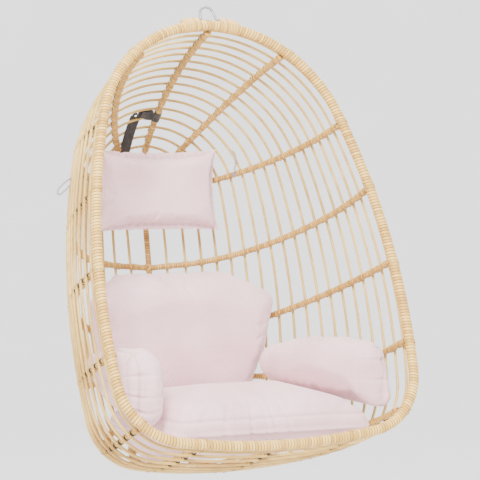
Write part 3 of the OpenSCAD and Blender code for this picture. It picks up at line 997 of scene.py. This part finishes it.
def build_cushions():
    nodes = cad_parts
    seat = settle("seat_cushion", nodes["seat_pad"].data, 0.0065, seat_seams, 5.0, 0.014, 0.06, 0.0055,
                  (0, 0.3, -1))
    crease(seat, seat_seams, (20, 80, -500), (0, 1), 0.0026, 0.030, 0.4)
    finish_pad(seat, "seat_pad", "cushion_set")
    back = settle("back_cushion", nodes["back_pad"].data, 0.006, back_seams, 5.0, 0.014, 0.06, 0.007,
                  (0, 1, -0.3))
    crease(back, back_seams, (0, 400, -330), (0, 2), 0.0034, 0.040, 1.3)
    finish_pad(back, "back_pad", "cushion_set")
    for side, seed in (("left", 2.2), ("right", 3.6)):
        node = "arm_pad_" + side
        arm = settle("arm_cushion_" + side, nodes[node].data, 0.005, arm_seams, 5.0, 0.012, 0.08, 0.005,
                     (-1 if side == "left" else 1, 0, -0.5))
        crease(arm, arm_edge, (0, 60, -380), (1, 2), 0.0034, 0.034, seed)
        finish_pad(arm, node, "cushion_set")
    head = settle("headrest_pillow", pillow_mesh(), None, pillow_edge, 6.0, 0.024, 0.02, 0.0,
                  (0, 1, 0), 16)
    crease(head, pillow_edge, (-20, 505, 96), (0, 2), 0.0030, 0.026, 5.1)
    finish_pad(head, "headrest", "headrest_pillow")


PILLOW = np.array([[[-222, 484, -24], [-194, 514, 216]], [[178, 490, -24], [178, 514, 216]]], float)


def pillow_sheet(u, v):
    """Middle surface of the headrest pillow: four pointed corners, its sides pulled in between them."""
    bent_u = u * (1 - 0.055 * (1 - v**2))
    bent_v = v * (1 - 0.075 * (1 - u**2) * np.where(v > 0, 1.0, 0.3))
    a, b = (bent_u + 1) / 2, (bent_v + 1) / 2
    low = PILLOW[0, 0] + (PILLOW[1, 0] - PILLOW[0, 0]) * a[..., None]
    high = PILLOW[0, 1] + (PILLOW[1, 1] - PILLOW[0, 1]) * a[..., None]
    p = low + (high - low) * b[..., None]
    p[..., 1] += 15 * (1 - u**2) * (1 - v**2)
    return p


def pillow_mesh():
    """Two faces that meet at one edge seam, starting slack."""
    nu, nv = 76, 46
    u, v = np.meshgrid(np.linspace(-1, 1, nu + 1), np.linspace(-1, 1, nv + 1), indexing="ij")
    middle = pillow_sheet(u, v)
    thick = 27 * ((1 - np.abs(u) ** 3) * (1 - np.abs(v) ** 2.4)) ** 0.6
    side = np.arange((nu + 1) * (nv + 1)).reshape(nu + 1, nv + 1)
    back = side + side.size
    for rim in (np.s_[0, :], np.s_[-1, :], np.s_[:, 0], np.s_[:, -1]):
        back[rim] = side[rim]
    half = thick[..., None] * [0, 1.0, 0]
    verts = np.concatenate([middle - half, middle + half])
    faces = []
    for i in range(nu):
        for j in range(nv):
            faces.append((side[i, j], side[i + 1, j], side[i + 1, j + 1], side[i, j + 1]))
            faces.append((back[i, j], back[i, j + 1], back[i + 1, j + 1], back[i + 1, j]))
    used = sorted({int(k) for f in faces for k in f})
    new = {k: n for n, k in enumerate(used)}
    mesh = bpy.data.meshes.new("pillow")
    at = upright(verts.reshape(-1, 3)[used])
    mesh.from_pydata(at.tolist(), [], [tuple(new[int(k)] for k in f) for f in faces])
    return mesh


def pillow_edge(co):
    """Distance to the pillow's edge seam, by its middle surface's own corners."""
    p = local(co)
    t = np.linspace(-1, 1, 60)
    one = np.ones_like(t)
    rim = np.concatenate([
        pillow_sheet(t, one), pillow_sheet(t, -one), pillow_sheet(one, t), pillow_sheet(-one, t)])
    d = np.sqrt(((p[:, None, (0, 2)] - rim[None][:, :, (0, 2)]) ** 2).sum(2)).min(1)
    return d * MM


# ---------------------------------------------------------------- ties of the headrest
def knot(name, at, size):
    t = np.linspace(0, 2 * np.pi, 48, endpoint=False)
    p = np.stack([np.sin(t) + 2 * np.sin(2 * t), -np.sin(3 * t), np.cos(t) - 2 * np.cos(2 * t)], 1) / 3
    shape = Shape()
    shape.sweep(upright(np.array(at) + size * p), np.tile([0.2, 1.0, 0.3], (48, 1)),
                np.full((48, 8), TIE_R) * MM, closed=True)
    return shape.build(name, CORD, "cord")


def tie(name, node, route, pieces, **facts):
    """A tie cord as a round tube through its route; route in upright millimetres."""
    path = upright(smooth(np.array(route, float), 2.5))
    shape = Shape()
    n = len(path)
    shape.sweep(path, np.tile([0.3, 1.0, 0.2], (n, 1)), np.full((n, 10), TIE_R) * MM)
    obj = shape.build(name, CORD, "cord")
    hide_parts(node)


def build_ties():
    ring_knot = knot("tie_left_knot", (-345, 318, 127), 6.5)
    tie("tie_left_cord", "tie_left",
        [(-345, 318, 131), (-356, 305, 131), (-372, 298, 124), (-386, 296, 113), (-395, 299, 101),
         (-396, 301, 92), (-389, 303, 89), (-377, 303, 97), (-365, 303, 108), (-354, 308, 117),
         (-345, 318, 124)],
        [ring_knot], far_end="object")
    end_knot = knot("tie_right_knot", (213.5, 486, 136), 5.0)
    tie("tie_right_cord", "tie_right",
        [(212, 500, 205), (219, 497, 200), (222, 494, 190), (221, 490, 176), (218, 488, 160),
         (214, 486, 140)],
        [end_knot], far_end="knot")


# ---------------------------------------------------------------- camera, floor and light
def build_camera():
    cam = bpy.data.cameras.new("camera")
    cam.lens = 165
    cam.sensor_width = 36
    obj = bpy.data.objects.new("camera", cam)
    bpy.context.scene.collection.objects.link(obj)
    obj.location = (-2.568, -5.272, -0.3845)
    obj.rotation_euler = (math.radians(87.89), 0, math.radians(-26.83))
    cam.clip_end = 100
    bpy.context.scene.camera = obj


def build_stage():
    """A pale floor that curves up all round into a wall and a ceiling."""
    floor_z = -1.95
    far, rise, top = 11.0, 4.0, 15.0
    line = [(0.5, 0), (far - rise, 0)]
    bend = np.radians(np.arange(6, 91, 6))
    line += [(far - rise + rise * math.sin(a), rise * (1 - math.cos(a))) for a in bend]
    line += [(far, top), (0.5, top + 1)]
    m = 48
    verts = []
    for r, z in line:
        for a in 2 * np.pi * np.arange(m) / m:
            verts.append((r * math.cos(a), r * math.sin(a), floor_z + z))
    faces = []
    for i in range(len(line) - 1):
        for k in range(m):
            k2 = (k + 1) % m
            faces.append((i * m + k, i * m + k2, (i + 1) * m + k2, (i + 1) * m + k))
    faces.append(tuple(range(m - 1, -1, -1)))
    faces.append(tuple((len(line) - 1) * m + k for k in range(m)))
    mesh = bpy.data.meshes.new("studio_floor")
    mesh.from_pydata(verts, [], faces)
    mesh.polygons.foreach_set("use_smooth", [True] * len(faces))
    p = Paint("studio_white")
    n = p.noise(p.coords(), 2.0, 2.0)
    pale = p.ramp(n, [(0.3, (0.66, 0.66, 0.66)), (0.7, (0.70, 0.70, 0.70))])
    mesh.materials.append(p.done(pale, 0.9, Emission_Color=(1, 1, 1, 1), Emission_Strength=BACKDROP))
    obj = bpy.data.objects.new("studio_floor", mesh)
    bpy.context.scene.collection.objects.link(obj)


def build_lights():
    world = bpy.data.worlds.new("studio")
    bpy.context.scene.world = world
    world.use_nodes = True
    bg = world.node_tree.nodes["Background"]
    bg.inputs[0].default_value = (1, 1, 1, 1)
    bg.inputs[1].default_value = 0.22
    for name, where, size, power in (
        ("key", (-2.8, -4.0, 2.8), 1.2, 760),
        ("fill", (3.5, -3.5, 0.8), 3.0, 40),
        ("top", (0.5, 1.0, 3.2), 2.0, 200),
    ):
        light = bpy.data.lights.new(name, "AREA")
        light.size = size
        light.energy = power
        obj = bpy.data.objects.new(name, light)
        obj.location = where
        obj.rotation_euler = (Vector((0, 0, -0.6)) - Vector(where)).to_track_quat("-Z", "Y").to_euler()
        bpy.context.scene.collection.objects.link(obj)


build_camera()
build_stage()
build_lights()
build_rim()
build_rings()
build_ribs()
build_spine()
build_bindings()
build_strap()
build_ties()
build_cushions()
